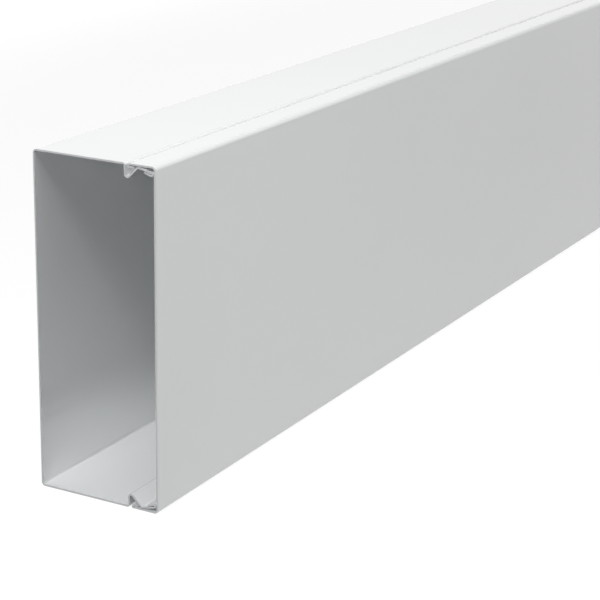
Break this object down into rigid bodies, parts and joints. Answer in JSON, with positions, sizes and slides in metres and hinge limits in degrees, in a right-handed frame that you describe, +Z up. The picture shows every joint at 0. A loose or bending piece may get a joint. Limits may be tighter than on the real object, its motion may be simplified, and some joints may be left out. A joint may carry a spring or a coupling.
{
  "type": "steel cable trunking",
  "caption": "Straight length of folded steel cable trunking, white coated: a flat-backed channel with grooved, hemmed edges and a clip-in cover whose hooked lips lie flush with its sides.",
  "frame": {"origin": "middle of the underside, half-way along the length and half-way between the back wall and the cover", "axes": "+Z up, +X from the back wall towards the cover, +Y along the length"},
  "size_m": [0.06, 2, 0.15],
  "materials": {
    "white_coat": "smooth white semi-gloss coating on sheet steel"
  },
  "bodies": {
    "base": {"trunking_base": "white_coat"},
    "cover": {"clip_in_cover": "white_coat"}
  },
  "joints": [
    {"name": "cover_slide", "type": "slide", "parent": "base", "child": "cover", "axis": [0, 1, 0], "range_m": [-2.05, 2.05]}
  ]
}
